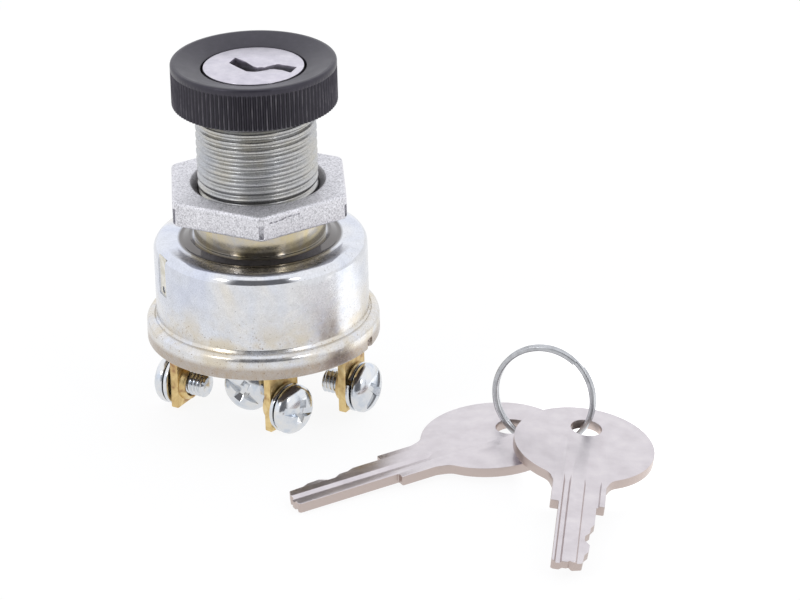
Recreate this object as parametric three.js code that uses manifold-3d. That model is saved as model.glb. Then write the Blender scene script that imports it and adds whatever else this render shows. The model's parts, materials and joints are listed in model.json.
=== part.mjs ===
// Selector key switch with four screw terminals, its two keys and their split ring.
// Millimetres, +Z up. The origin is the centre of the lock's face, and the stem's axis is Z.
import * as THREE from "three";
import { mergeVertices } from "three/addons/utils/BufferGeometryUtils.js";
import Module from "manifold-3d";

const wasm = await Module();
wasm.setup();

const radians = THREE.MathUtils.degToRad;

// ---- driving dimensions ----
const GAP = 0.3; // left between faces that touch on the real switch

const STEM_R = 11.11; // 7/8 inch thread
const STEM_TOP = -2.1;
const BORE_R = 7.3;
const PLUG_R = 7.0;

const BEZEL_R = 15.18;
const BEZEL_TOP = 1.2;
const BEZEL_BOTTOM = -6.86;
const BEZEL_OPENING_R = 9.65;
const BEZEL_CREST_R = 14.75; // highest ring of the dished top
const FACE_R = 9.22; // bright cap of the lock

const NUT_ACROSS_FLATS = 31.75; // 1 1/4 inch
const NUT_TOP = -22.35;
const NUT_BOTTOM = -27.15;
const NUT_TURN = radians(2.8);

const COLLAR_R = 12.2;
const COLLAR_BOTTOM = -32.47;

const CUP_R = 19.83;
const CUP_WALL = 1.0;
const CUP_TOP = COLLAR_BOTTOM - GAP;
const FLANGE_R = 21.71;
const FLANGE_TOP = -47.9;
const FLANGE_BOTTOM = -53.17;
const BASE_R = 20.3;
const BASE_TOP = -48.9;
const BASE_BOTTOM = -52.4;

const GROUND = -69.42; // the screw heads' rims stand here
const SCREW_HEAD_R = 4.75;
const SCREW_HEAD_H = 3.0;
const SCREW_Z = GROUND + SCREW_HEAD_R;
const SHANK_R = 2.3;
const BLADE_W = 7.6;
const BLADE_T = 1.6;

const KEY_T = 1.88;
const RING_R = 9.35; // split ring, to the middle of its coils
const RING_WIRE_R = 0.55;

const OVER = 1; // how far a cutting shape runs past the face that it cuts

// ---- materials ----
const finish = (color, roughness, metalness) => ({ color, roughness, metalness });
const BLACK = finish(0x343036, 0.45, 0.0);
const FACE_STEEL = finish(0xd6d3dc, 0.3, 0.9);
const ZINC = finish(0xc9ccd2, 0.35, 0.9);
const CAST = finish(0xcdccd2, 0.6, 0.7);
const STEEL = finish(0xa8aab0, 0.4, 0.9);
const BRASS = finish(0xb99a5c, 0.4, 0.9);
const PHENOLIC = finish(0x3b2a22, 0.7, 0.0);
const NYLON = finish(0xd8d2c4, 0.6, 0.0);
const NICKEL = finish(0xdcd6da, 0.35, 0.9);

// ---- sides of a round shape ----
const ROUND = 36;
const SMALL_ROUND = 16;
const TINY_ROUND = 12;

const part = new THREE.Group();

function addMesh(name, geometry, look, parent = part) {
  const mesh = new THREE.Mesh(geometry, new THREE.MeshStandardMaterial(look));
  mesh.name = name;
  parent.add(mesh);
  return mesh;
}

// ---- joining and cutting ----
function toSolid(geometry) {
  const bare = new THREE.BufferGeometry();
  const flat = geometry.index ? geometry.toNonIndexed() : geometry;
  bare.setAttribute("position", flat.getAttribute("position"));
  const merged = mergeVertices(bare, 1e-4);
  const corners = merged.index.array;
  const kept = [];
  for (let i = 0; i < corners.length; i += 3) {
    const [a, b, c] = [corners[i], corners[i + 1], corners[i + 2]];
    if (a !== b && b !== c && c !== a) kept.push(a, b, c);
  }
  return new wasm.Manifold(
    new wasm.Mesh({
      numProp: 3,
      vertProperties: merged.getAttribute("position").array,
      triVerts: new Uint32Array(kept),
    }),
  );
}

function toGeometry(solid) {
  const mesh = solid.getMesh();
  const geometry = new THREE.BufferGeometry();
  geometry.setAttribute("position", new THREE.BufferAttribute(mesh.vertProperties, 3));
  geometry.setIndex(new THREE.BufferAttribute(mesh.triVerts, 1));
  geometry.computeVertexNormals();
  return geometry;
}

const cut = (whole, ...holes) =>
  toGeometry(holes.reduce((solid, hole) => solid.subtract(toSolid(hole)), toSolid(whole)));
const join = (...pieces) =>
  toGeometry(pieces.map(toSolid).reduce((all, piece) => all.add(piece)));

// ---- basic shapes ----
// A closed profile of [radius, z] points, anticlockwise, turned about Z.
function turned(profile, segments = ROUND) {
  const points = [...profile, profile[0]].map(([r, z]) => new THREE.Vector2(r, z));
  return new THREE.LatheGeometry(points, segments).rotateX(Math.PI / 2);
}

// A flat ring between two heights.
function ring(innerR, outerR, z0, z1, segments = ROUND) {
  return turned([[innerR, z0], [outerR, z0], [outerR, z1], [innerR, z1]], segments);
}

function rod(r, z0, z1, segments = SMALL_ROUND) {
  const geometry = new THREE.CylinderGeometry(r, r, z1 - z0, segments);
  return geometry.rotateX(Math.PI / 2).translate(0, 0, (z0 + z1) / 2);
}

function block(x0, x1, y0, y1, z0, z1) {
  const geometry = new THREE.BoxGeometry(x1 - x0, y1 - y0, z1 - z0);
  return geometry.translate((x0 + x1) / 2, (y0 + y1) / 2, (z0 + z1) / 2);
}

function plate(shape, z0, z1, curveSegments = 12) {
  const options = { depth: z1 - z0, bevelEnabled: false, curveSegments };
  return new THREE.ExtrudeGeometry(shape, options).translate(0, 0, z0);
}

// Wire wound on a helix about Z.
function coil(radius, wireR, z0, z1, turns, stepsPerTurn = 10, sides = 6) {
  class Helix extends THREE.Curve {
    getPoint(t, target = new THREE.Vector3()) {
      const angle = 2 * Math.PI * turns * t;
      const z = z0 + wireR + (z1 - z0 - 2 * wireR) * t;
      return target.set(radius * Math.cos(angle), radius * Math.sin(angle), z);
    }
  }
  const section = new THREE.Shape();
  for (let i = 0; i < sides; i++) {
    const angle = (2 * Math.PI * i) / sides;
    const [x, y] = [wireR * Math.cos(angle), wireR * Math.sin(angle)];
    if (i === 0) section.moveTo(x, y);
    else section.lineTo(x, y);
  }
  const steps = Math.round(turns * stepsPerTurn);
  return new THREE.ExtrudeGeometry(section, { steps, extrudePath: new Helix(), bevelEnabled: false });
}

// ---- lock housing: stem, collar and the lip that is staked inside the cup ----
function lockHousing() {
  const neckR = 10.2;
  const lipR = 11.5;
  const lipTop = CUP_TOP - CUP_WALL - GAP;
  const lipBottom = lipTop - 1.0;
  const chamfer = 0.6;
  return turned([
    [BORE_R, lipBottom],
    [lipR, lipBottom],
    [lipR, lipTop],
    [neckR, lipTop],
    [neckR, COLLAR_BOTTOM],
    [COLLAR_R, COLLAR_BOTTOM],
    [COLLAR_R, NUT_BOTTOM - GAP],
    [STEM_R, NUT_BOTTOM - GAP],
    [STEM_R, STEM_TOP - chamfer],
    [STEM_R - chamfer, STEM_TOP],
    [BORE_R, STEM_TOP],
  ]);
}

// ---- bezel nut, its lip over the stem's end ----
function bezelNut() {
  const threadR = STEM_R + GAP;
  const lipUnderside = STEM_TOP + GAP;
  const openingTop = -0.1;
  const edge = 0.3;
  const shoulder = 0.9; // height of the rounded outer edge
  return turned([
    [threadR, BEZEL_BOTTOM],
    [BEZEL_R - edge, BEZEL_BOTTOM],
    [BEZEL_R, BEZEL_BOTTOM + edge],
    [BEZEL_R, BEZEL_TOP - shoulder],
    [BEZEL_R - edge / 3, BEZEL_TOP - shoulder / 3],
    [BEZEL_CREST_R, BEZEL_TOP],
    [BEZEL_CREST_R - edge, BEZEL_TOP],
    [BEZEL_OPENING_R, openingTop],
    [BEZEL_OPENING_R, lipUnderside],
    [threadR, lipUnderside],
  ], 48);
}

// ---- hex nut with a chamfered bore ----
function hexNut() {
  const hexagon = new THREE.Shape();
  const cornerR = NUT_ACROSS_FLATS / Math.sqrt(3);
  for (let i = 0; i < 6; i++) {
    const angle = NUT_TURN + Math.PI / 6 + (i * Math.PI) / 3;
    const [x, y] = [cornerR * Math.cos(angle), cornerR * Math.sin(angle)];
    if (i === 0) hexagon.moveTo(x, y);
    else hexagon.lineTo(x, y);
  }
  const boreR = STEM_R + GAP;
  const chamfer = 1.2;
  const bore = turned([
    [0, NUT_BOTTOM - OVER],
    [boreR + chamfer + OVER, NUT_BOTTOM - OVER],
    [boreR, NUT_BOTTOM + chamfer],
    [boreR, NUT_TOP - chamfer],
    [boreR + chamfer + OVER, NUT_TOP + OVER],
    [0, NUT_TOP + OVER],
  ]);
  return cut(plate(hexagon, NUT_BOTTOM, NUT_TOP), bore);
}

// ---- pressed steel cup with a rolled flange crimped round the base plate ----
const GROOVE = { r: 14.4, depth: 0.8 }; // pressed ring round the collar
const RIDGE = { r: 16.0, depth: 0.5 };

function steelCup() {
  const holeR = 10.5;
  const hubR = 13.2;
  const crimpR = 19.9;
  const insideR = CUP_R - CUP_WALL;
  const pocketR = BASE_R + GAP;
  const shoulderR = 1.9;
  const shoulderTop = CUP_TOP - 0.6;
  const arc = shoulderR * (1 - Math.SQRT1_2);
  return turned([
    // from the hole outwards, down to the crimp and back up inside
    [holeR, CUP_TOP - CUP_WALL],
    [holeR, CUP_TOP],
    [hubR, CUP_TOP],
    [GROOVE.r, CUP_TOP - GROOVE.depth],
    [RIDGE.r, CUP_TOP - RIDGE.depth],
    [CUP_R - shoulderR, shoulderTop],
    [CUP_R - arc, shoulderTop - arc],
    [CUP_R, shoulderTop - shoulderR],
    [CUP_R, FLANGE_TOP],
    [FLANGE_R - 1.3, FLANGE_TOP - 0.4],
    [FLANGE_R - 0.4, FLANGE_TOP - 0.9],
    [FLANGE_R, FLANGE_TOP - 1.9],
    [FLANGE_R, FLANGE_BOTTOM + 0.5],
    [FLANGE_R - 0.5, FLANGE_BOTTOM],
    [crimpR, FLANGE_BOTTOM],
    [crimpR, BASE_BOTTOM - GAP],
    [pocketR, BASE_BOTTOM - GAP],
    [pocketR, BASE_TOP + GAP],
    [insideR, BASE_TOP + GAP],
    [insideR, shoulderTop - shoulderR],
    [GROOVE.r, CUP_TOP - GROOVE.depth - CUP_WALL],
    [hubR - 0.3, CUP_TOP - CUP_WALL],
  ].reverse());
}

// ---- plug: barrel with keyway, wafer slots, clip groove and drive tang ----
const WAFER_COUNT = 5;
const WAFER_T = 1.0;
const WAFER_PITCH = 2.8;
const WAFER_TOP = -6.0;
const WAFER_TRAVEL = 0.6;
const WAFER_HALF_X = 5.9;
const WAFER_HALF_Y = 3.0;
const KEYWAY_TURN = radians(-25.5);
const KEYWAY_Y = -1.3;
const waferZ = (i) => WAFER_TOP - i * WAFER_PITCH;

const PLUG_TOP = -1.8 - GAP;
const PLUG_END = -35.4;
const GROOVE_R = 4.5;
const STUB_R = 5.2;
const STUB_TOP = PLUG_END - 1.4;
const STUB_END = -37.4;
const TANG_END = -41.0;
const TANG_X = 4.2;
const TANG_Y = 1.3;
const KEYWAY_HALF_X = 4.3;
const KEYWAY_HALF_Y = 1.05;
const KEYWAY_END = -24;

function lockPlug() {
  const barrel = turned([
    [0, STUB_END],
    [STUB_R, STUB_END],
    [STUB_R, STUB_TOP],
    [GROOVE_R, STUB_TOP],
    [GROOVE_R, PLUG_END],
    [PLUG_R, PLUG_END],
    [PLUG_R, PLUG_TOP],
    [0, PLUG_TOP],
  ], 28);
  const tang = block(-TANG_X, TANG_X, -TANG_Y, TANG_Y, TANG_END, STUB_END + 0.5);
  const [keywayLow, keywayHigh] = [KEYWAY_Y - KEYWAY_HALF_Y, KEYWAY_Y + KEYWAY_HALF_Y];
  const keyway = block(-KEYWAY_HALF_X, KEYWAY_HALF_X, keywayLow, keywayHigh, KEYWAY_END, PLUG_TOP + OVER);
  const slots = [];
  for (let i = 0; i < WAFER_COUNT; i++) {
    const [top, side, reach] = [waferZ(i) + GAP, WAFER_HALF_Y + GAP, PLUG_R + OVER];
    slots.push(block(-reach, reach, -side, side, top - WAFER_T - 2 * GAP, top));
  }
  const whole = join(barrel, tang);
  return cut(whole, keyway, ...slots).rotateZ(KEYWAY_TURN);
}

// The key slot of the face cap: two straight ends joined by an S-shaped middle.
function keySlot() {
  const slot = new THREE.Shape();
  slot.moveTo(-4.5, 1.85);
  slot.lineTo(-3.4, 4.4);
  slot.lineTo(-1.6, 2.4);
  slot.quadraticCurveTo(-0.4, -0.5, 1.3, -0.8);
  slot.quadraticCurveTo(3.0, -0.3, 4.3, 0.6);
  slot.lineTo(5.8, 0.05);
  slot.lineTo(7.9, -1.05);
  slot.lineTo(6.8, -3.85);
  slot.lineTo(5.7, -2.8);
  slot.quadraticCurveTo(3.8, -1.5, 2.0, -2.35);
  slot.quadraticCurveTo(0.6, -3.1, -1.1, -2.65);
  slot.lineTo(-3.2, 0.0);
  slot.closePath();
  return slot;
}

function plugCap() {
  const bottom = PLUG_TOP + GAP;
  const chamfer = 0.25;
  const disc = turned([
    [0, bottom],
    [FACE_R, bottom],
    [FACE_R, -chamfer],
    [FACE_R - chamfer, 0],
    [0, 0],
  ]);
  return cut(disc, plate(keySlot(), bottom - OVER, OVER, 4));
}

function plugClip() {
  const [top, thickness] = [PLUG_END - GAP, 0.8];
  const [outerR, mouthHalf] = [9.0, 3.0];
  const collar = ring(GROOVE_R + GAP, outerR, top - thickness, top, 24);
  const mouth = block(0, outerR + OVER, -mouthHalf, mouthHalf, top - thickness - OVER, top + OVER);
  return cut(collar, mouth);
}

// ---- wafers: flat plates with a window for the blade and a notch for the spring ----
const WINDOW_DEPTHS = [4.0, 3.6, 3.8, 3.4, 3.7]; // one for each cut of the key
const WINDOW_FAR = 4.2;
const NOTCH_HALF = 3.6;
const NOTCH_FLOOR = 0.9;

function wafer(i) {
  const [top, bottom] = [waferZ(i), waferZ(i) - WAFER_T];
  const [high, low] = [top + OVER, bottom - OVER];
  const halfY = KEYWAY_HALF_Y + 0.1;
  const body = block(-WAFER_HALF_X, WAFER_HALF_X, -WAFER_HALF_Y, WAFER_HALF_Y, bottom, top);
  const window = block(-WINDOW_DEPTHS[i], WINDOW_FAR, KEYWAY_Y - halfY, KEYWAY_Y + halfY, low, high);
  const notch = block(-NOTCH_HALF, NOTCH_HALF, NOTCH_FLOOR, WAFER_HALF_Y + OVER, low, high);
  return cut(body, window, notch).rotateZ(KEYWAY_TURN);
}

// Spring of one wafer, lying along the wafer's travel in its notch.
function waferSpring(i) {
  const length = 2 * (NOTCH_HALF - WAFER_TRAVEL - GAP);
  const middle = (NOTCH_FLOOR + WAFER_HALF_Y) / 2;
  const spring = coil(0.42, 0.14, 0, length, 3, 6, 3).rotateY(Math.PI / 2);
  return spring.translate(-length / 2, middle, waferZ(i) - WAFER_T / 2).rotateZ(KEYWAY_TURN);
}

// ---- rotor, detent and contacts ----
const ROTOR_R = 14.9;
const ROTOR_TOP = STUB_END - GAP;
const ROTOR_BOTTOM = -43.5;
const DETENT_Z = -39.3;
const DETENT_LAND_R = 16.2;
const BALL_R = 1.4;
const BALL_AT = 14.5;
const SPRING_X = 8.2;
const SPRING_TOP = -41.6; // bottom of the pocket for a contact spring
const POCKET_FLOOR = 3.0; // how near the axis a detent pocket reaches
const HUB_HALF = 2.0; // the square hub that turns the contact plate
const CONTACT_TOP = -46.2;
const CONTACT_BOTTOM = -47.3;

function rotor() {
  const disc = rod(ROTOR_R, ROTOR_BOTTOM, ROTOR_TOP, ROUND);
  const [hubLow, hubHigh] = [CONTACT_BOTTOM + GAP, ROTOR_BOTTOM + OVER];
  const hub = block(-HUB_HALF, HUB_HALF, -HUB_HALF, HUB_HALF, hubLow, hubHigh);
  const [slotX, slotY] = [TANG_X + GAP, TANG_Y + GAP];
  const slot = block(-slotX, slotX, -slotY, slotY, TANG_END - GAP, ROTOR_TOP + OVER);
  const springPocketR = 2.2;
  const pockets = [];
  for (const side of [-1, 1]) {
    const pocket = rod(BALL_R + GAP, POCKET_FLOOR, ROTOR_R + OVER).rotateX((-side * Math.PI) / 2);
    pockets.push(pocket.translate(0, 0, DETENT_Z));
    const springPocket = rod(springPocketR, ROTOR_BOTTOM - OVER, SPRING_TOP);
    pockets.push(springPocket.translate(side * SPRING_X, 0, 0));
  }
  return cut(join(disc, hub), slot, ...pockets).rotateZ(KEYWAY_TURN);
}

// Fixed in the cup, with a notch for each ball at each position of the key.
const POSITIONS = [-40, 0, 40];

function detentRing() {
  const half = 1.8;
  const notchR = 1.5;
  const notchAt = DETENT_LAND_R + 0.2;
  const whole = ring(DETENT_LAND_R, CUP_R - CUP_WALL - GAP, DETENT_Z - half, DETENT_Z + half, 48);
  const notches = [];
  for (const side of [-1, 1]) {
    for (const degrees of POSITIONS) {
      const angle = (side * Math.PI) / 2 + radians(degrees) + KEYWAY_TURN;
      const notch = rod(notchR, DETENT_Z - half - OVER, DETENT_Z + half + OVER, TINY_ROUND);
      notches.push(notch.translate(notchAt * Math.cos(angle), notchAt * Math.sin(angle), 0));
    }
  }
  return cut(whole, ...notches);
}

// Brings the key back from its last position.
function returnSpring() {
  const [coilR, wireR, turns] = [13.2, 0.35, 1.75];
  const [bottom, top] = [-37.25, -34.65];
  return coil(coilR, wireR, bottom, top, turns, 18, 4);
}

function detentSpring(side) {
  const [from, to] = [POCKET_FLOOR + GAP, BALL_AT - BALL_R - GAP];
  const spring = coil(1.15, 0.22, from, to, 4, 8, 4).rotateX((-side * Math.PI) / 2);
  return spring.translate(0, 0, DETENT_Z).rotateZ(KEYWAY_TURN);
}

function detentBall(side) {
  const ball = new THREE.SphereGeometry(BALL_R, 12, 8).rotateX(Math.PI / 2);
  return ball.translate(0, side * BALL_AT, DETENT_Z).rotateZ(KEYWAY_TURN);
}

function contactSpring(side) {
  const [top, bottom] = [SPRING_TOP - GAP, CONTACT_TOP + GAP];
  return coil(1.6, 0.25, bottom, top, 3, 9, 4).translate(side * SPRING_X, 0, 0).rotateZ(KEYWAY_TURN);
}

// Brass bridge: a hub with four arms, two of them in line under the contact springs.
function contactPlate() {
  const [hubR, armEnd, armHalf] = [6.5, 12.5, 2.4];
  const pieces = [rod(hubR, CONTACT_BOTTOM, CONTACT_TOP, 24)];
  for (const degrees of [0, 130, 180, 250]) {
    const arm = block(0, armEnd, -armHalf, armHalf, CONTACT_BOTTOM, CONTACT_TOP);
    pieces.push(arm.rotateZ(radians(degrees)));
  }
  const half = HUB_HALF + GAP;
  const hole = block(-half, half, -half, half, CONTACT_BOTTOM - OVER, CONTACT_TOP + OVER);
  return cut(join(...pieces), hole).rotateZ(KEYWAY_TURN);
}

// ---- terminals ----
// Each stands at (x, y) with its screw head facing out along angle, in degrees about Z.
const TERMINALS = [
  { x: -17.44, y: 4.65, angle: 150, shank: 4.4 },
  { x: 18.08, y: -1.23, angle: -29, shank: 4.7 },
  { x: 4.7, y: -9.5, angle: -42, shank: 2.2 },
  { x: -3.29, y: 0.69, angle: -117, shank: 3.4 },
];
// Along a terminal's own X, which points out of the switch, the head's underside is 0.
const WASHER_OUT = -GAP;
const WASHER_IN = WASHER_OUT - 0.9;
const BLADE_OUT = WASHER_IN - GAP;
const BLADE_IN = BLADE_OUT - BLADE_T;
const COLLAR_IN = BLADE_IN - 1.1;
const RIVET_AT = -5.4;
const RIVET_R = 1.5;
const RIVET_HEAD_R = 2.3;
const FOOT_END = -7.7;
const FOOT_TOP = BASE_BOTTOM - GAP;
const FOOT_T = 1.4;

const alongX = (geometry) => geometry.rotateY(Math.PI / 2);

function blade() {
  const half = BLADE_W / 2;
  const bladeEnd = SCREW_Z - 4.1;
  const collarR = 3.3;
  const upright = block(BLADE_IN, BLADE_OUT, -half, half, bladeEnd, FOOT_TOP);
  const foot = block(FOOT_END, BLADE_IN + BLADE_T / 3, -half, half, FOOT_TOP - FOOT_T, FOOT_TOP);
  const collar = alongX(rod(collarR, COLLAR_IN, BLADE_IN + BLADE_T / 3)).translate(0, 0, SCREW_Z);
  const screwHole = alongX(rod(SHANK_R + GAP, COLLAR_IN - OVER, OVER)).translate(0, 0, SCREW_Z);
  const rivetHole = rod(RIVET_R + GAP, FOOT_TOP - FOOT_T - OVER, FOOT_TOP + OVER, TINY_ROUND);
  return cut(join(upright, foot, collar), screwHole, rivetHole.translate(RIVET_AT, 0, 0));
}

function rivet() {
  const headBottom = BASE_TOP + GAP;
  const headTop = headBottom + 1.0;
  const tailTop = FOOT_TOP - FOOT_T - GAP;
  const tailEnd = tailTop - 0.8;
  const flatR = 1.8;
  return turned([
    [0, tailEnd],
    [flatR, tailEnd],
    [RIVET_HEAD_R, tailTop],
    [RIVET_R, tailTop],
    [RIVET_R, headBottom],
    [RIVET_HEAD_R, headBottom],
    [flatR, headTop],
    [0, headTop],
  ], TINY_ROUND).translate(RIVET_AT, 0, 0);
}

function screw(shank) {
  const [end, chamfer, rimR, rimH] = [BLADE_IN - shank, 0.4, SCREW_HEAD_R - 0.15, 0.6];
  const profile = [[0, end], [SHANK_R - chamfer, end], [SHANK_R, end + chamfer], [SHANK_R, 0], [rimR, 0]];
  const steps = 4;
  for (let i = 0; i < steps; i++) {
    const angle = (i / steps) * (Math.PI / 2);
    profile.push([SCREW_HEAD_R * Math.cos(angle), rimH + (SCREW_HEAD_H - rimH) * Math.sin(angle)]);
  }
  profile.push([0, SCREW_HEAD_H]);
  const [halfSlot, crossReach, crossFloor, slotFloor] = [0.5, 2.6, 1.2, 2.0];
  const high = SCREW_HEAD_H + OVER;
  const cross = block(-crossReach, crossReach, -halfSlot, halfSlot, crossFloor, high);
  const slot = block(-SCREW_HEAD_R - OVER, SCREW_HEAD_R + OVER, -halfSlot, halfSlot, slotFloor, high);
  const recess = [cross, cross.clone().rotateZ(Math.PI / 2), slot];
  return alongX(cut(turned(profile, 20), ...recess)).translate(0, 0, SCREW_Z);
}

function lockWasher() {
  const halfSplit = 0.3;
  const flat = ring(SHANK_R + GAP, SCREW_HEAD_R - 0.05, WASHER_IN, WASHER_OUT, 20);
  const split = block(-halfSplit, halfSplit, 0, SCREW_HEAD_R + OVER, WASHER_IN - OVER, WASHER_OUT + OVER);
  return alongX(cut(flat, split)).translate(0, 0, SCREW_Z);
}

function basePlate() {
  const holes = TERMINALS.map(({ x, y, angle }) => {
    const hole = rod(RIVET_R + GAP, BASE_BOTTOM - OVER, BASE_TOP + OVER, TINY_ROUND);
    return hole.translate(RIVET_AT, 0, 0).rotateZ(radians(angle)).translate(x, y, 0);
  });
  return cut(rod(BASE_R, BASE_BOTTOM, BASE_TOP, ROUND), ...holes);
}

// ---- keys and their ring ----
// A key lies along its own +X from its ring hole to its tip, with its upper face at Z = 0.
const KEY_TIP = 46.3;
const SHOULDER = 26.0;
const NECK = 19.0;
const NECK_HALF = 5.0;
const BLADE_HALF = 3.4;
const BOW_X = 4.46;
const BOW_HALF_X = 13.3;
const BOW_HALF_Y = 12.9;
const KEY_HOLE_R = 2.85;
const WAFER_CUTS = [1.9, 1.2, 2.3, 0.8, 1.5];
const CUT_PITCH = 3.3;
const CUT_HALF = 0.8;
const FIRST_CUT = 3.4; // from the tip
const PEAK_DROP = 0.3;
const TIP_BEVEL = 1.2;
const TIP_RAMP = 0.2;
const KEY_GROOVE_HALF = 0.9;
const KEY_GROOVE_DEPTH = 0.45;

// Where each key's hole is, the way its tip points, and how its upper face tilts.
// A blank's shift is how far it lies along and across from the middle of its hole.
const KEYS = [
  { x: 45.44, y: -17.31, z: -65.67, heading: 208.3, pitch: 2.04, roll: 0, cutSide: -1, shift: [0.12, 0.89] },
  { x: 59.02, y: -22.49, z: -63.74, heading: -96.2, pitch: 2.5, roll: -8.44, cutSide: 1, shift: [1.5, 0] },
];

function keyOutline(cutSide) {
  const outline = new THREE.Shape();
  const steps = 24;
  const neckAngle = 0.4; // half the arc that the neck takes out of the bow
  const points = [];
  for (let i = 0; i <= steps; i++) {
    const angle = neckAngle + (i / steps) * (2 * Math.PI - 2 * neckAngle);
    points.push([BOW_X + BOW_HALF_X * Math.cos(angle), BOW_HALF_Y * Math.sin(angle)]);
  }
  points.push([NECK, -NECK_HALF], [SHOULDER, -NECK_HALF], [SHOULDER, -BLADE_HALF]);
  points.push([KEY_TIP - TIP_BEVEL, -BLADE_HALF], [KEY_TIP, TIP_BEVEL - BLADE_HALF], [KEY_TIP, TIP_RAMP]);
  WAFER_CUTS.forEach((depth, i) => {
    const x = KEY_TIP - FIRST_CUT - i * CUT_PITCH;
    points.push([x + CUT_HALF, BLADE_HALF - depth], [x - CUT_HALF, BLADE_HALF - depth]);
    points.push([x - CUT_PITCH / 2, BLADE_HALF - PEAK_DROP]);
  });
  points.push([SHOULDER, BLADE_HALF], [SHOULDER, NECK_HALF], [NECK, NECK_HALF]);
  points.forEach(([x, y], i) => {
    if (i === 0) outline.moveTo(x, y * cutSide);
    else outline.lineTo(x, y * cutSide);
  });
  outline.closePath();
  return outline;
}

function key({ cutSide, shift }) {
  const blank = plate(keyOutline(cutSide), -KEY_T, 0);
  const hole = rod(KEY_HOLE_R, -KEY_T - OVER, OVER, 20);
  const half = KEY_GROOVE_HALF;
  const groove = block(NECK - 1, KEY_TIP + OVER, -half, half, -KEY_GROOVE_DEPTH, OVER);
  const [along, across] = shift;
  return cut(cut(blank, groove).translate(along, across, 0), hole);
}

// The split ring leans on edge through both keys' holes.
const RING_PLACE = { x: 51.53, y: -17.5, z: -59.57, bearing: -19.96, lean: 6.15 };

function keyRing() {
  const { x, y, z, bearing, lean } = RING_PLACE;
  const loop = new THREE.TorusGeometry(RING_R, RING_WIRE_R, 8, 40);
  loop.rotateX(Math.PI / 2 - radians(lean)).rotateZ(radians(bearing));
  return loop.translate(x, y, z);
}

// ---- assembly ----
addMesh("lock_housing", lockHousing(), ZINC);
addMesh("bezel_nut", bezelNut(), BLACK);
addMesh("hex_nut", hexNut(), CAST);
addMesh("steel_cup", steelCup(), ZINC);
addMesh("base_plate", basePlate(), PHENOLIC);
addMesh("lock_plug", lockPlug(), ZINC);
addMesh("plug_cap", plugCap(), FACE_STEEL);
addMesh("plug_clip", plugClip(), STEEL);
for (let i = 0; i < WAFER_COUNT; i++) {
  addMesh(`wafer_${i + 1}`, wafer(i), BRASS);
  addMesh(`wafer_spring_${i + 1}`, waferSpring(i), STEEL);
}
addMesh("return_spring", returnSpring(), STEEL);
addMesh("detent_ring", detentRing(), STEEL);
addMesh("rotor", rotor(), NYLON);
addMesh("contact_plate", contactPlate(), BRASS);
for (const [i, side] of [-1, 1].entries()) {
  addMesh(`detent_spring_${i + 1}`, detentSpring(side), STEEL);
  addMesh(`detent_ball_${i + 1}`, detentBall(side), STEEL);
  addMesh(`contact_spring_${i + 1}`, contactSpring(side), STEEL);
}

TERMINALS.forEach(({ x, y, angle, shank }, i) => {
  const place = new THREE.Group();
  place.position.set(x, y, 0);
  place.rotation.z = radians(angle);
  part.add(place);
  addMesh(`terminal_blade_${i + 1}`, blade(), BRASS, place);
  addMesh(`terminal_rivet_${i + 1}`, rivet(), BRASS, place);
  addMesh(`terminal_screw_${i + 1}`, screw(shank), ZINC, place);
  addMesh(`lock_washer_${i + 1}`, lockWasher(), ZINC, place);
});

KEYS.forEach((lying, i) => {
  const { x, y, z, heading, pitch, roll } = lying;
  const place = new THREE.Group();
  place.position.set(x, y, z);
  place.rotation.set(radians(roll), radians(pitch), radians(heading), "ZYX");
  part.add(place);
  addMesh(`key_${i + 1}`, key(lying), NICKEL, place);
});
addMesh("key_ring", keyRing(), STEEL);

export default part;
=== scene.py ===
"""Looks of a selector key switch with screw terminals, its two keys and their split ring.

Lengths of pieces are in millimetres, and places in materials, lamps and floor in metres. All is
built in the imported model's own frame, where the stem's axis is Z and the lock's face is at 0.
"""

import json
import math

import bmesh
import bpy
from mathutils import Matrix, Vector, noise


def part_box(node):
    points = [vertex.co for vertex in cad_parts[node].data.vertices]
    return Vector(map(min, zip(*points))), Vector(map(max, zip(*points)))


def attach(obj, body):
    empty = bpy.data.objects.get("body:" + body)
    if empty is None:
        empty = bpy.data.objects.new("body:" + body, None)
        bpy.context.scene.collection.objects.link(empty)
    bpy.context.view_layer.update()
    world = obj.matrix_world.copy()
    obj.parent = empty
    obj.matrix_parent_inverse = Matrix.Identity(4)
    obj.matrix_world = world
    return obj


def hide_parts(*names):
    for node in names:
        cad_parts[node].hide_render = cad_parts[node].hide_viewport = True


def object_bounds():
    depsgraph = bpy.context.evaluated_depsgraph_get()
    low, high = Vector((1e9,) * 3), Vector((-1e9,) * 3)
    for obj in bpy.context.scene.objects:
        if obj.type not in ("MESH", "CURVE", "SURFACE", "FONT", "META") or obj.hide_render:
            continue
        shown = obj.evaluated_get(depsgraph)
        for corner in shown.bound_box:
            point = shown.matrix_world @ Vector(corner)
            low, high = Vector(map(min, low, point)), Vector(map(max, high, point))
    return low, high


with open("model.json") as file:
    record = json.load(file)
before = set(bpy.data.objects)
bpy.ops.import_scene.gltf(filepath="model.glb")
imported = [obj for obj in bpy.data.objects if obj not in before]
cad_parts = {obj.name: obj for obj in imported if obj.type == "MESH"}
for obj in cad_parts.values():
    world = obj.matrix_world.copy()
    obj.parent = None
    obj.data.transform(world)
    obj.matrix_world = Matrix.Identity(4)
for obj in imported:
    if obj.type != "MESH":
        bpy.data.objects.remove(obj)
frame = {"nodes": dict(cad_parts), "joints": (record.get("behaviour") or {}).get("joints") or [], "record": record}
CAD_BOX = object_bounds()

MM = 0.001
TAU = 2 * math.pi
JOINTS = {joint["name"]: joint for joint in frame["joints"]}

# ---- dimensions that the frame doesn't hold
STEM_PITCH = 25.4 / 16
SCREW_PITCH = 25.4 / 32
KNURL_RIBS = 108
NUT_TURN = math.radians(2.8)
KEYWAY_TURN = math.radians(-25.5)


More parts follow.
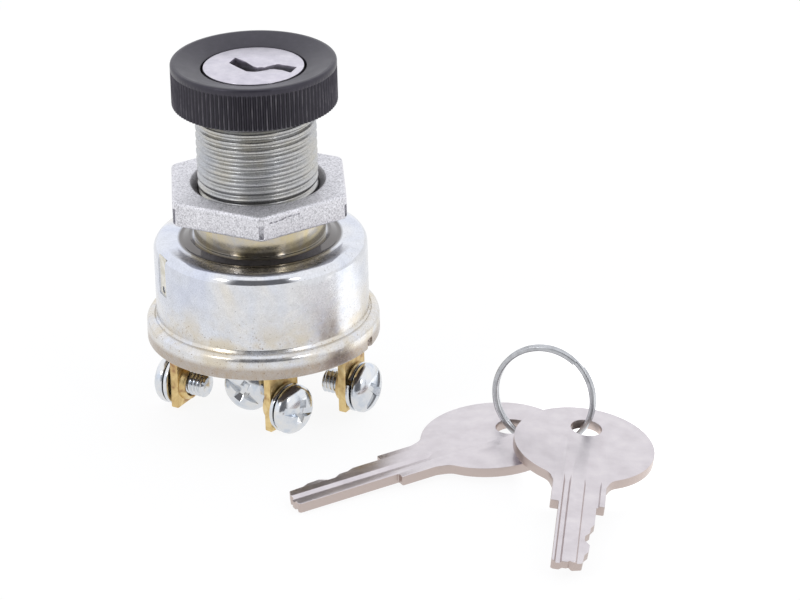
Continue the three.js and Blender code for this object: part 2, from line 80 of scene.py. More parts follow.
def limits(node):
    """Lowest and highest corner of a CAD node, in millimetres."""
    low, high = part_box(node)
    return Vector(low) / MM, Vector(high) / MM


def clamped(value):
    """The value, held between 0 and 1."""
    return min(max(value, 0.0), 1.0)


def eased(t):
    """0 to 1 with a soft start and a soft end."""
    return t * t * (3 - 2 * t)


def polar(radius, angle):
    """The point (x, y) at that distance and bearing."""
    return radius * math.cos(angle), radius * math.sin(angle)


# ---- mesh helpers
def added(name, data):
    """A new object in the scene."""
    thing = bpy.data.objects.new(name, data)
    bpy.context.collection.objects.link(thing)
    return thing


def as_mesh(name, bm):
    """The bmesh as a mesh; the bmesh is freed."""
    mesh = bpy.data.meshes.new(name)
    bm.to_mesh(mesh)
    bm.free()
    return mesh


def add_piece(name, bm, look, body, nodes=(), sharp=35, flat=False):
    """Turns a bmesh in millimetres into a piece that has one of the looks and rides on a body.

    With flat, the large faces keep one normal, so that small fillets and ramps don't bend them.
    Sharp is the angle in degrees from which an edge is a crease.
    """
    bmesh.ops.scale(bm, vec=(MM, MM, MM), verts=bm.verts)
    bmesh.ops.recalc_face_normals(bm, faces=bm.faces)
    mesh = as_mesh(name, bm)
    large_area, many_corners = 2.0 * MM * MM, 8
    for face in mesh.polygons:
        large = face.area > large_area or len(face.vertices) > many_corners
        face.use_smooth = not (flat and large)
    mesh.set_sharp_from_angle(angle=math.radians(sharp))
    mesh.materials.append(LOOKS[look])
    piece = added(name, mesh)
    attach(piece, body)
    if nodes:
        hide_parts(*nodes)


def rounded(corners, steps=5):
    """A closed outline from corners (x, y, fillet radius), each corner rounded by an arc.

    A fillet takes nearly half of an edge at most, or nearly all of it if the other end is sharp.
    """
    half_edge, whole_edge = 0.49, 0.98
    nearly_straight = math.pi - 0.02
    outline = []
    count = len(corners)
    for i, (x, y, radius) in enumerate(corners):
        here = Vector((x, y))
        before = Vector(corners[i - 1][:2]) - here
        after = Vector(corners[(i + 1) % count][:2]) - here
        sharp = radius <= 0 or before.length == 0 or after.length == 0
        if sharp or before.angle(after) > nearly_straight:
            outline.append((x, y))
            continue
        angle = before.angle(after)
        back_share = half_edge if corners[i - 1][2] > 0 else whole_edge
        ahead_share = half_edge if corners[(i + 1) % count][2] > 0 else whole_edge
        reach = min(radius / math.tan(angle / 2), back_share * before.length, ahead_share * after.length)
        radius = reach * math.tan(angle / 2)
        bisector = (before.normalized() + after.normalized()).normalized()
        centre = here + bisector * (radius / math.sin(angle / 2))
        start = here + before.normalized() * reach - centre
        end = here + after.normalized() * reach - centre
        sweep = start.angle_signed(end)
        for k in range(steps + 1):
            turn = -sweep * k / steps
            point = centre + Matrix.Rotation(turn, 2) @ start
            outline.append((point.x, point.y))
    return outline


def skin(bm, rings, capped=True):
    """Faces between rings of as many vertices each, with a cap on both ends."""
    count = len(rings[0])
    for near, far in zip(rings, rings[1:]):
        for i in range(count):
            k = (i + 1) % count
            bm.faces.new((near[i], near[k], far[k], far[i]))
    if capped:
        bm.faces.new(rings[0])
        bm.faces.new(rings[-1][::-1])


def lathe(outline, segments, radius_at=None):
    """A closed outline of (radius, z) turned about Z; radius_at may change each radius."""
    bm = bmesh.new()
    columns = []
    for j in range(segments):
        angle = TAU * j / segments
        column = []
        for r, z in outline:
            r = radius_at(r, z, angle) if radius_at else r
            column.append(bm.verts.new((*polar(r, angle), z)))
        columns.append(column)
    skin(bm, [*columns, columns[0]], False)
    bmesh.ops.remove_doubles(bm, verts=bm.verts, dist=1e-4)
    return bm


def disc_outline(corners):
    """Corners (r, z, fillet) of a solid of revolution whose ends lie on the axis."""
    return [(max(r, 0.0), z) for r, z in rounded(corners)]


def slab(outlines, z0, z1, bevel):
    """A plate between two heights with a rounded rim; the first outline is its outside."""
    curve = bpy.data.curves.new("slab", "CURVE")
    curve.dimensions = "2D"
    curve.fill_mode = "BOTH"
    for outline in outlines:
        spline = curve.splines.new("POLY")
        spline.points.add(len(outline) - 1)
        for point, (x, y) in zip(spline.points, outline):
            point.co = (x, y, 0, 1)
        spline.use_cyclic_u = True
    curve.extrude = (z1 - z0) / 2 - bevel
    curve.bevel_depth = bevel
    curve.bevel_resolution = 2
    curve.offset = -bevel
    holder = added("slab", curve)
    shape = holder.evaluated_get(bpy.context.evaluated_depsgraph_get())
    mesh = bpy.data.meshes.new_from_object(shape)
    bpy.data.objects.remove(holder)
    bpy.data.curves.remove(curve)
    bm = bmesh.new()
    bm.from_mesh(mesh)
    bpy.data.meshes.remove(mesh)
    bmesh.ops.remove_doubles(bm, verts=bm.verts, dist=1e-4)
    bmesh.ops.translate(bm, vec=(0, 0, (z0 + z1) / 2), verts=bm.verts)
    return bm


def box(x0, x1, y0, y1, z0, z1, bevel):
    """A block between two corners, with rounded edges."""
    bm = bmesh.new()
    bmesh.ops.create_cube(bm, size=1)
    bmesh.ops.scale(bm, vec=(x1 - x0, y1 - y0, z1 - z0), verts=bm.verts)
    bmesh.ops.translate(bm, vec=((x0 + x1) / 2, (y0 + y1) / 2, (z0 + z1) / 2), verts=bm.verts)
    bmesh.ops.bevel(bm, geom=bm.edges[:], offset=bevel, segments=3, affect="EDGES", profile=0.5)
    return bm


def wedge(low_size, high_size, z0, z1):
    """A block along Z whose lower and upper ends differ in size (x, y)."""
    bm = bmesh.new()
    bmesh.ops.create_cube(bm, size=1)
    for v in bm.verts:
        size, z = (high_size, z1) if v.co.z > 0 else (low_size, z0)
        v.co = (v.co.x * size[0], v.co.y * size[1], z)
    return bm


def moved(bm, matrix):
    """The same bmesh, after the move."""
    bmesh.ops.transform(bm, matrix=matrix, verts=bm.verts)
    return bm


def merged(*parts):
    """Several bmeshes as one, still separate shells."""
    whole = bmesh.new()
    for bm in parts:
        mesh = as_mesh("part", bm)
        whole.from_mesh(mesh)
        bpy.data.meshes.remove(mesh)
    return whole


def as_object(bm):
    """A passing object that holds the bmesh, for a boolean."""
    bmesh.ops.recalc_face_normals(bm, faces=bm.faces)
    return added("cutter", as_mesh("cutter", bm))


def boolean(bm, cutters):
    """The bmesh without what the cutters take away."""
    whole = as_object(bm)
    tools = [as_object(cutter) for cutter in cutters]
    for tool in tools:
        change = whole.modifiers.new("cut", "BOOLEAN")
        change.operation = "DIFFERENCE"
        change.solver = "EXACT"
        change.object = tool
    shape = whole.evaluated_get(bpy.context.evaluated_depsgraph_get())
    mesh = bpy.data.meshes.new_from_object(shape)
    for holder in [whole, *tools]:
        old = holder.data
        bpy.data.objects.remove(holder)
        bpy.data.meshes.remove(old)
    result = bmesh.new()
    result.from_mesh(mesh)
    bpy.data.meshes.remove(mesh)
    return result


def thread_surface(radius_at, pitch, z0, z1, segments, rows):
    """A helical surface, open at both ends, whose radius follows the share of a pitch."""
    bm = bmesh.new()
    count = int(math.ceil((z1 - z0) / pitch) + 3) * rows
    grid = []
    for i in range(count + 1):
        row = []
        r = radius_at(i / rows % 1)
        for j in range(segments):
            angle = TAU * j / segments
            z = z0 - 1.5 * pitch + pitch * (i / rows + j / segments)
            row.append(bm.verts.new((*polar(r, angle), z)))
        grid.append(row)
    for i in range(count - rows):
        for j in range(segments):
            last = j == segments - 1
            a, b = grid[i][j], grid[i + 1][j]
            c = grid[i + rows + 1][0] if last else grid[i + 1][j + 1]
            d = grid[i + rows][0] if last else grid[i][j + 1]
            bm.faces.new((a, d, c, b))
    bmesh.ops.delete(bm, geom=[v for v in bm.verts if not v.link_faces], context="VERTS")
    for z, up in ((z0, False), (z1, True)):
        everything = bm.verts[:] + bm.edges[:] + bm.faces[:]
        bmesh.ops.bisect_plane(
            bm, geom=everything, dist=1e-5, plane_co=(0, 0, z), plane_no=(0, 0, 1),
            clear_outer=up, clear_inner=not up,
        )
    return bm


def thread(radius, depth, pitch, z0, z1, bore, segments, rows, tip=0.0, crest=0.1):
    """A right-hand thread between two heights, hollow to bore, or solid with a chamfered low end.

    Crest is the share of a pitch that stays at the full radius, and tip the chamfer's size.
    """
    root, roundness = 0.88, 0.65

    def radius_at(t):
        slope = 1 - abs(2 * t - 1)
        flank = clamped((slope - crest) / (root - crest))
        return radius - depth * ((1 - roundness) * flank + roundness * eased(flank))

    bm = thread_surface(radius_at, pitch, z0, z1, segments, rows)
    rims = []
    for z in (z0, z1):
        rim = [e for e in bm.edges if e.is_boundary and all(abs(v.co.z - z) < 1e-3 for v in e.verts)]
        shrunk = bore or radius - depth - tip
        end = z - tip if z == z0 else z
        made = bmesh.ops.extrude_edge_only(bm, edges=rim)["geom"]
        for v in (g for g in made if isinstance(g, bmesh.types.BMVert)):
            flat = Vector((v.co.x, v.co.y, 0)).normalized() * shrunk
            v.co = (flat.x, flat.y, end)
        rims.append([g for g in made if isinstance(g, bmesh.types.BMEdge) and g.is_boundary])
    if bore:
        bmesh.ops.bridge_loops(bm, edges=rims[0] + rims[1])
    else:
        for rim in rims:
            bmesh.ops.holes_fill(bm, edges=rim, sides=0)
    return bm


# ---- material helpers
class Nodes:
    """A node tree and the sums that the materials and the world both need."""

    def __init__(self, tree):
        self.tree = tree

    def new(self, kind):
        return self.tree.nodes.new("ShaderNode" + kind)

    def link(self, source, target):
        self.tree.links.new(source, target)

    def feed(self, value, target):
        """Gives an input a link, a colour or a number; a number for a colour is a grey."""
        if isinstance(value, bpy.types.NodeSocket):
            self.link(value, target)
        elif isinstance(value, tuple):
            target.default_value = (*value, 1)
        elif target.type == "RGBA":
            target.default_value = (value, value, value, 1)
        else:
            target.default_value = value

    def math(self, operation, first, second=0.0):
        node = self.new("Math")
        node.operation = operation
        self.feed(first, node.inputs[0])
        self.feed(second, node.inputs[1])
        return node.outputs[0]

    def product(self, first, *others):
        for other in others:
            first = self.math("MULTIPLY", first, other)
        return first

    def length(self, x, y):
        return self.math("SQRT", self.math("ADD", self.product(x, x), self.product(y, y)))

    def between(self, value, start, end, interpolation="LINEAR"):
        """0 at start and 1 at end."""
        node = self.new("MapRange")
        node.interpolation_type = interpolation
        node.inputs["From Min"].default_value = min(start, end)
        node.inputs["From Max"].default_value = max(start, end)
        node.inputs["To Min"].default_value = 0.0 if start < end else 1.0
        node.inputs["To Max"].default_value = 1.0 if start < end else 0.0
        self.link(value, node.inputs["Value"])
        return node.outputs["Result"]

    def mix(self, factor, first, second, blend="MIX"):
        """The first colour where the factor is 0, and the second where it is 1."""
        node = self.new("Mix")
        node.data_type = "RGBA"
        node.blend_type = blend
        factor_in, first_in, second_in, color_out = 0, 6, 7, 2
        self.feed(factor, node.inputs[factor_in])
        self.feed(first, node.inputs[first_in])
        self.feed(second, node.inputs[second_in])
        return node.outputs[color_out]

    def tinted(self, color, *tints):
        """A colour multiplied by each of the tints."""
        for tint in tints:
            color = self.mix(1.0, color, tint, "MULTIPLY")
        return color


class Look(Nodes):
    """A Principled material built from a few chained textures in object space."""

    def __init__(self, name, color, metallic, roughness, **sockets):
        self.material = bpy.data.materials.new(name)
        self.material.use_nodes = True
        super().__init__(self.material.node_tree)
        self.shader = self.tree.nodes["Principled BSDF"]
        self.place = self.new("TexCoord").outputs["Object"]
        self.normal = None
        sockets.update(Base_Color=(*color, 1), Metallic=metallic, Roughness=roughness)
        for socket, value in sockets.items():
            self.shader.inputs[socket.replace("_", " ")].default_value = value

    def stretched(self, scale, turn=0.0):
        """The place scaled by axis, and turned about Z by an angle in radians."""
        mapping = self.new("Mapping")
        mapping.inputs["Scale"].default_value = scale
        mapping.inputs["Rotation"].default_value = (0, 0, turn)
        self.link(self.place, mapping.inputs["Vector"])
        return mapping.outputs["Vector"]

    def noise(self, scale, detail, vector=None, rough=0.55, distortion=0.0):
        """Noise with that many cells in a millimetre, or in a unit of the vector."""
        node = self.new("TexNoise")
        node.inputs["Scale"].default_value = scale / MM if vector is None else scale
        node.inputs["Detail"].default_value = detail
        node.inputs["Roughness"].default_value = rough
        node.inputs["Distortion"].default_value = distortion
        self.link(vector or self.place, node.inputs["Vector"])
        return node.outputs["Fac"]

    def ramp(self, value, stops):
        """A colour from stops (position, colour), where a lone number stands for a grey."""
        node = self.new("ValToRGB")
        elements = node.color_ramp.elements
        while len(elements) < len(stops):
            elements.new(0.5)
        for element, (position, color) in zip(elements, stops):
            element.position = position
            element.color = (*color, 1) if isinstance(color, tuple) else (color, color, color, 1)
        self.link(value, node.inputs["Fac"])
        return node.outputs["Color"]

    def axis(self, name, vector=None):
        """One coordinate of a vector, or else of the place, in metres."""
        split = self.new("SeparateXYZ")
        self.link(vector or self.place, split.inputs[0])
        return split.outputs[name]

    def color(self, value):
        self.link(value, self.shader.inputs["Base Color"])

    def roughness(self, value, low, high):
        node = self.new("MapRange")
        node.inputs["To Min"].default_value = low
        node.inputs["To Max"].default_value = high
        self.link(value, node.inputs["Value"])
        self.link(node.outputs["Result"], self.shader.inputs["Roughness"])

    def bump(self, height, depth_mm, strength):
        """Adds a relief to those that the material already has."""
        node = self.new("Bump")
        node.inputs["Strength"].default_value = strength
        node.inputs["Distance"].default_value = depth_mm * MM
        self.link(height, node.inputs["Height"])
        if self.normal is not None:
            self.link(self.normal, node.inputs["Normal"])
        self.normal = node.outputs["Normal"]
        self.link(self.normal, self.shader.inputs["Normal"])


def black_plastic():
    """Satin black with painted shade in the rib valleys, and pale flecks drawn out along the rib crests that are
    partly wear and partly painted highlight.
    """
    look = Look("black_plastic", (0.010, 0.009, 0.012), 0.0, 0.4, Specular_IOR_Level=0.62,
                Specular_Tint=(0.90, 0.86, 1.0, 1))
    base = look.ramp(look.noise(0.9, 5), [
        (0.35, (0.010, 0.009, 0.014)), (0.62, (0.016, 0.014, 0.021)), (0.8, (0.034, 0.030, 0.042)),
    ])
    radius = look.length(look.axis("X"), look.axis("Y"))
    on_side = look.between(look.axis("Z"), 0.0002, -0.0006)
    # Pale flecks on the rib crests: partly wear, and partly a painted highlight along the crests.
    crest = look.product(look.between(radius, 0.01494, 0.01516), on_side)
    streaks = look.noise(1.0, 3, look.stretched((2400, 2400, 260)), rough=0.75)
    wear_and_highlight = look.product(crest, look.ramp(streaks, [(0.44, 0.12), (0.56, 0.5), (0.66, 1.0)]))
    # Painted shade: the rib valleys are darkened, where shade falls between the ribs.
    valley_painted_shade = look.product(look.between(radius, 0.01500, 0.01482), on_side)
    base = look.mix(valley_painted_shade, base, (0.003, 0.003, 0.004))
    look.color(look.mix(wear_and_highlight, base, (0.17, 0.16, 0.175)))
    look.roughness(look.noise(0.35, 4), 0.28, 0.46)
    look.bump(look.noise(6.0, 4), 0.02, 0.35)
    return look.material


def collar_zinc():
    """Yellowish plate on the machined collar under the nut."""
    look = Look("collar_zinc", (0.52, 0.48, 0.42), 1.0, 0.2)
    look.color(look.ramp(look.noise(0.15, 3, distortion=0.8), [
        (0.30, (0.46, 0.46, 0.47)), (0.45, (0.54, 0.49, 0.40)), (0.60, (0.58, 0.50, 0.32)),
        (0.75, (0.50, 0.49, 0.50)),
    ]))
    look.roughness(look.noise(1.5, 4), 0.10, 0.26)
    look.bump(look.noise(3.0, 4), 0.010, 0.5)
    return look.material


def stained_steel():
    """The pale strip in the cup's wall."""
    look = Look("stained_steel", (0.74, 0.72, 0.66), 0.6, 0.45)
    look.color(look.ramp(look.noise(0.8, 4), [(0.35, (0.62, 0.59, 0.50)), (0.65, (0.78, 0.76, 0.71))]))
    look.roughness(look.noise(1.5, 4), 0.35, 0.55)
    look.bump(look.noise(2.0, 4), 0.02, 0.5)
    return look.material


def zinc_plate():
    """Bright plate with grey clouds."""
    look = Look("zinc_plate", (0.66, 0.67, 0.69), 1.0, 0.25)
    look.color(look.ramp(look.noise(0.3, 5), [(0.3, (0.60, 0.61, 0.64)), (0.7, (0.70, 0.70, 0.69))]))
    look.roughness(look.noise(0.8, 5), 0.15, 0.38)
    look.bump(look.noise(3.5, 4), 0.006, 0.5)
    return look.material


def cup_plate(look):
    """Bright plate with faint blue and yellow clouds, grain and dark specks."""
    tint = look.ramp(look.noise(0.06, 3, distortion=1.2), [
        (0.30, (0.62, 0.65, 0.74)), (0.45, (0.68, 0.70, 0.75)), (0.58, (0.72, 0.72, 0.73)),
        (0.70, (0.73, 0.70, 0.65)),
    ])
    clouds = look.ramp(look.noise(0.5, 6, rough=0.65), [(0.32, 0.92), (0.55, 1.0), (0.7, 1.03)])
    fine = look.ramp(look.noise(3.0, 3, rough=0.7), [(0.3, 0.90), (0.5, 1.0), (0.68, 1.05)])
    specks = look.ramp(look.noise(2.2, 2), [(0.24, 0.4), (0.29, 1.0)])
    return look.tinted(tint, clouds, fine, specks)


def cup_stained(look, plate, height):
    """Brown pits and a stain low on the wall, and a crimped edge that is darker and browner, with dark pits."""
    pits = look.ramp(look.noise(2.6, 3, rough=0.6), [(0.31, 1.0), (0.36, 0.0)])
    low_wall = look.between(height, -0.040, -0.047)
    stain = look.product(look.ramp(look.noise(0.18, 5), [(0.42, 0.0), (0.62, 0.7)]), low_wall)
    plate = look.mix(stain, plate, (0.62, 0.54, 0.40))
    plate = look.mix(look.product(pits, low_wall), plate, (0.30, 0.22, 0.15))
    # Low on the flange, the crimped edge is darker and browner in patches, with dark pits.
    patches = look.ramp(look.noise(0.9, 6, rough=0.7), [(0.42, 0.0), (0.70, 1.0)])
    dark_edge_pits = look.ramp(look.noise(2.6, 3), [(0.29, 1.0), (0.35, 0.0)])
    darker_brown_edge = look.mix(patches, (0.46, 0.415, 0.375), (0.42, 0.345, 0.27))
    darker_brown_edge = look.mix(dark_edge_pits, darker_brown_edge, (0.22, 0.14, 0.09))
    return look.mix(look.between(height, -0.0503, -0.0512), plate, darker_brown_edge)


def cup_zinc():
    """The cup's plate, smooth on the shoulder, with painted shade in the groove round the collar, a painted dark
    reflection on the land in front, and stained low down.
    """
    look = Look("cup_zinc", (0.66, 0.67, 0.69), 1.0, 0.25)
    height, y = look.axis("Z"), look.axis("Y")
    radius = look.length(look.axis("X"), y)
    # Painted shade: the hub and groove round the collar are darkened, where the nut and collar shade them.
    painted_groove_shade = look.product(
        look.between(radius, 0.0121, 0.0127), look.between(radius, 0.0154, 0.0149),
        look.between(height, -0.0346, -0.0340),
    )
    # Painted dark reflection: the front of the land, on the negative Y side, is darkened.
    reflection_land = look.product(
        look.between(radius, 0.0150, 0.0156), look.between(radius, 0.0182, 0.0174),
        look.between(height, -0.0340, -0.0334), look.between(y, -0.0055, -0.0105),
    )
    # Colour of the painted dark reflection on the front of the land, in cloudy greys.
    cloudy = look.ramp(look.noise(1.2, 4), [(0.35, 0.0), (0.65, 1.0)])
    painted_dark_reflection = look.mix(cloudy, (0.20, 0.20, 0.215), (0.40, 0.385, 0.38))
    plate = look.mix(reflection_land, cup_stained(look, cup_plate(look), height), painted_dark_reflection)
    look.color(look.mix(painted_groove_shade, plate, (0.17, 0.16, 0.155)))
    shoulder = look.between(height, -0.0362, -0.0352)
    smooth = look.product(shoulder, look.math("SUBTRACT", 1.0, reflection_land))
    look.roughness(look.mix(smooth, look.noise(0.8, 5), 0.0), 0.10, 0.42)
    look.bump(look.mix(smooth, look.noise(3.5, 4), 0.5), 0.006, 0.5)
    look.bump(look.mix(smooth, look.noise(0.25, 2), 0.5), 0.05, 0.35)
    return look.material


def thread_zinc():
    """Greyer, grainy plate on the stem's thread."""
    look = Look("thread_zinc", (0.46, 0.46, 0.45), 1.0, 0.28)
    tint = look.ramp(look.noise(0.12, 3), [
        (0.3, (0.42, 0.43, 0.45)), (0.5, (0.47, 0.47, 0.465)), (0.70, (0.50, 0.475, 0.41)),
    ])
    grain = look.noise(4.0, 3, rough=0.7)
    speckle = look.ramp(grain, [(0.3, 0.72), (0.5, 1.0), (0.7, 1.25)])
    look.color(look.tinted(tint, speckle))
    look.roughness(look.noise(1.2, 4), 0.2, 0.42)
    look.bump(grain, 0.02, 0.5)
    return look.material


def face_steel():
    """Bright brushed cap with a mottled sheen and a few scratches."""
    look = Look("face_steel", (0.60, 0.575, 0.65), 1.0, 0.3)
    grain = look.noise(1.0, 4, look.stretched((9000, 500, 500)))
    mottle = look.ramp(look.noise(0.35, 5, rough=0.65), [
        (0.3, (0.52, 0.50, 0.565)), (0.5, (0.61, 0.585, 0.65)), (0.7, (0.70, 0.67, 0.73)),
    ])
    scratches = look.ramp(look.noise(0.5, 2, look.stretched((300, 9000, 300))), [(0.30, 0.80), (0.36, 1.0)])
    look.color(look.tinted(mottle, scratches))
    look.roughness(grain, 0.24, 0.42)
    look.bump(grain, 0.006, 0.6)
    look.bump(look.noise(2.6, 4, rough=0.65), 0.016, 0.6)
    return look.material


def cast_zinc():
    """Rough pale casting, with painted shade round the bore next to the stem."""
    look = Look("cast_zinc", (0.60, 0.595, 0.62), 0.9, 0.5)
    grain = look.noise(3.2, 4, rough=0.75)
    patches = look.ramp(look.noise(0.25, 4), [(0.3, 0.90), (0.7, 1.0)])
    base = look.ramp(grain, [
        (0.34, (0.36, 0.355, 0.375)), (0.46, (0.66, 0.655, 0.69)), (0.64, (0.95, 0.945, 0.98)),
    ])
    radius = look.length(look.axis("X"), look.axis("Y"))
    # Painted shade: darker round the bore's chamfer next to the stem, where it lies in deep shade.
    painted_bore_shade = look.mix(look.between(radius, 0.0128, 0.0120), (1.0, 1.0, 1.0), (0.42, 0.41, 0.41))
    look.color(look.tinted(base, patches, painted_bore_shade))
    look.roughness(grain, 0.40, 0.58)
    look.bump(grain, 0.09, 0.6)
    return look.material


def brass():
    """Yellow brass with brown and pale tarnish."""
    look = Look("brass", (0.66, 0.50, 0.22), 1.0, 0.34)
    look.color(look.ramp(look.noise(0.45, 5, distortion=0.6), [
        (0.30, (0.34, 0.18, 0.10)), (0.42, (0.60, 0.43, 0.20)), (0.58, (0.75, 0.575, 0.28)),
        (0.74, (0.81, 0.665, 0.42)),
    ]))
    look.roughness(look.noise(1.5, 4), 0.26, 0.5)
    look.bump(look.noise(2.0, 5, rough=0.65), 0.04, 0.5)
    return look.material


def screw_zinc():
    """Glossy, faintly blue plate."""
    look = Look("screw_zinc", (0.84, 0.87, 0.89), 1.0, 0.14)
    look.color(look.ramp(look.noise(0.5, 4), [
        (0.3, (0.56, 0.61, 0.68)), (0.5, (0.68, 0.70, 0.73)), (0.7, (0.74, 0.735, 0.72)),
    ]))
    look.roughness(look.noise(1.5, 4), 0.08, 0.26)
    look.bump(look.noise(1.6, 4), 0.012, 0.4)
    return look.material


def nickel():
    """Satin plate with fine scratches, browner on the cut edges."""
    look = Look("nickel", (0.80, 0.76, 0.77), 1.0, 0.3)
    clouds = look.ramp(look.noise(0.3, 5), [
        (0.3, (0.58, 0.54, 0.56)), (0.55, (0.64, 0.60, 0.62)), (0.75, (0.69, 0.65, 0.66)),
    ])
    levelness = look.math("ABSOLUTE", look.axis("Z", look.new("TexCoord").outputs["Normal"]))
    side = look.ramp(levelness, [(0.35, 1.0), (0.75, 0.0)])
    look.color(look.mix(side, clouds, (0.52, 0.44, 0.41)))
    scratches = look.noise(1.0, 3, look.stretched((300, 5000, 300), 0.5))
    look.roughness(look.noise(1.0, 5), 0.24, 0.42)
    look.bump(look.noise(2.2, 5), 0.016, 0.5)
    look.bump(scratches, 0.008, 0.4)
    return look.material


def tones(color, dark, light):
    """Stops of a ramp from a darker to a lighter shade of a colour."""
    return [(0.3, tuple(dark * c for c in color)), (0.7, tuple(min(light * c, 1.0) for c in color))]


def steel(name, color, low, high):
    """Plain steel whose roughness lies between low and high."""
    look = Look(name, color, 1.0, low)
    look.color(look.ramp(look.noise(0.8, 4), tones(color, 0.82, 1.1)))
    look.roughness(look.noise(2.0, 4), low, high)
    look.bump(look.noise(4.0, 3), 0.008, 0.4)
    return look.material


def dull(name, color, roughness, grain, depth_mm):
    """A plastic or board with grain of that many cells in a millimetre."""
    look = Look(name, color, 0.0, roughness)
    look.color(look.ramp(look.noise(grain, 5), tones(color, 0.75, 1.25)))
    look.roughness(look.noise(grain * 0.5, 4), roughness - 0.1, roughness + 0.1)
    look.bump(look.noise(grain * 2, 4), depth_mm, 0.5)
    return look.material


LOOKS = {
    "black_plastic": black_plastic(),
    "zinc_steel": zinc_plate(),
    "thread": thread_zinc(),
    "collar": collar_zinc(),
    "cup": cup_zinc(),
    "stained": stained_steel(),
    "face_steel": face_steel(),
    "cast_zinc": cast_zinc(),
    "brass": brass(),
    "screw_steel": screw_zinc(),
    "nickel": nickel(),
    "ring_steel": steel("ring_steel", (0.50, 0.51, 0.53), 0.22, 0.4),
    "spring_steel": steel("spring_steel", (0.45, 0.46, 0.48), 0.3, 0.5),
    "phenolic": dull("phenolic", (0.05, 0.028, 0.018), 0.55, 1.2, 0.02),
    "nylon": dull("nylon", (0.62, 0.58, 0.48), 0.5, 0.8, 0.01),
}


# ---- bezel nut
def make_bezel():
    """The black nut: a dished ring whose rim is knurled all round."""
    low, high = limits("bezel_nut")
    outer, bottom, top = high.x, low.z, high.z
    opening, opening_top, shelf, thread_r = 9.65, -0.1, -1.8, 11.4
    knurl_top, ribbed_from = 0.05, outer - 0.9
    rib_depth, run_out_length, samples = 0.42, 0.42, 8

    outline = rounded([
        (thread_r, bottom, 0.2), (outer, bottom, 0.25), (outer, knurl_top, 0), (outer, top - 0.45, 0),
        (outer - 0.1, top, 0.5), (outer - 0.8, top, 0.4), (opening, opening_top, 0.25),
        (opening, shelf, 0), (thread_r, shelf, 0),
    ])
    # more rows on the knurled wall, so that the ribs can run out at the top
    dense = []
    for (r0, z0), (r1, z1) in zip(outline, outline[1:] + outline[:1]):
        dense.append((r0, z0))
        if r0 == outer and r1 == outer and z1 == knurl_top:
            dense += [(outer, z0 + (knurl_top - 0.5 - z0) * k / 6) for k in range(1, 7)]
            dense += [(outer, knurl_top - drop) for drop in (0.38, 0.28, 0.19, 0.1)]

    def ribbed(r, z, angle):
        if r < ribbed_from:
            return r
        run_out = math.sqrt(clamped((knurl_top - z) / run_out_length))
        foot = clamped((z - bottom + 0.1) / 0.3)
        wave = 0.5 - 0.5 * math.cos(KNURL_RIBS * angle)
        return r - rib_depth * run_out * foot * wave ** 0.65

    bm = lathe(dense, KNURL_RIBS * samples, ribbed)
    add_piece("bezel_nut_knurled", bm, "black_plastic", "bezel", ["bezel_nut"], 50)


# ---- lock face, plug and stem
def key_slot(grow=0.0, within=20.0):
    """Outline of the key slot: two straight ends joined by an S-shaped middle.

    Grow moves the corners outwards, and none of them lies farther from the axis than within.
    """
    corners = [
        (-4.5, 1.85, 0.15), (-3.4, 4.4, 0.15), (-1.5, 2.25, 0.5), (0.0, -0.3, 2.0), (1.6, -1.0, 2.0),
        (4.3, 0.75, 1.2), (5.8, 0.05, 0.6), (7.9, -1.05, 0.15), (6.8, -3.85, 0.15), (5.3, -2.5, 0.8),
        (3.4, -1.75, 1.5), (2.2, -2.4, 2.0), (0.4, -3.05, 1.5), (-1.2, -2.65, 0.2), (-3.2, 0.0, 0.3),
    ]
    centre = Vector((1.7, 0.2))
    grown = []
    for x, y, radius in corners:
        out = Vector((x, y)) - centre
        point = Vector((x, y)) + out.normalized() * grow
        point *= min(within / point.length, 1.0)
        grown.append((point.x, point.y, radius))
    return rounded(grown, 4)


def circle(radius, count, x=0.0, y=0.0):
    """Points of a circle."""
    points = [polar(radius, TAU * k / count) for k in range(count)]
    return [(x + u, y + v) for u, v in points]


def make_lock():
    """The bright cap, and behind it the barrel with its keyway, solid end and drive tang."""
    low, high = limits("plug_cap")
    cap = slab([circle(high.x, 160), key_slot()], low.z, high.z, 0.12)
    add_piece("lock_face", cap, "face_steel", "plug", ["plug_cap"], 30, True)

    low, high = limits("lock_plug")
    radius, neck_r, rim_r = 7.0, 4.5, 5.2
    keyway_end, neck_top, rim_top, rim_low = -24.0, -35.4, -36.8, -37.4
    apart = 0.02
    barrel = slab([circle(radius, 64), key_slot(-0.25, 6.6)], keyway_end, high.z, 0.05)
    solid_end = lathe(disc_outline([
        (0, rim_low, 0), (rim_r, rim_low, 0.3), (rim_r, rim_top, 0), (neck_r, rim_top, 0),
        (neck_r, neck_top, 0), (radius, neck_top, 0.3), (radius, keyway_end - apart, 0),
        (0, keyway_end - apart, 0),
    ]), 64)
    tang = box(-4.2, 4.2, -1.3, 1.3, low.z, rim_low - apart, 0.2)
    moved(tang, Matrix.Rotation(KEYWAY_TURN, 4, "Z"))
    add_piece("lock_barrel", merged(barrel, solid_end, tang), "spring_steel", "plug",
              ["lock_plug"])


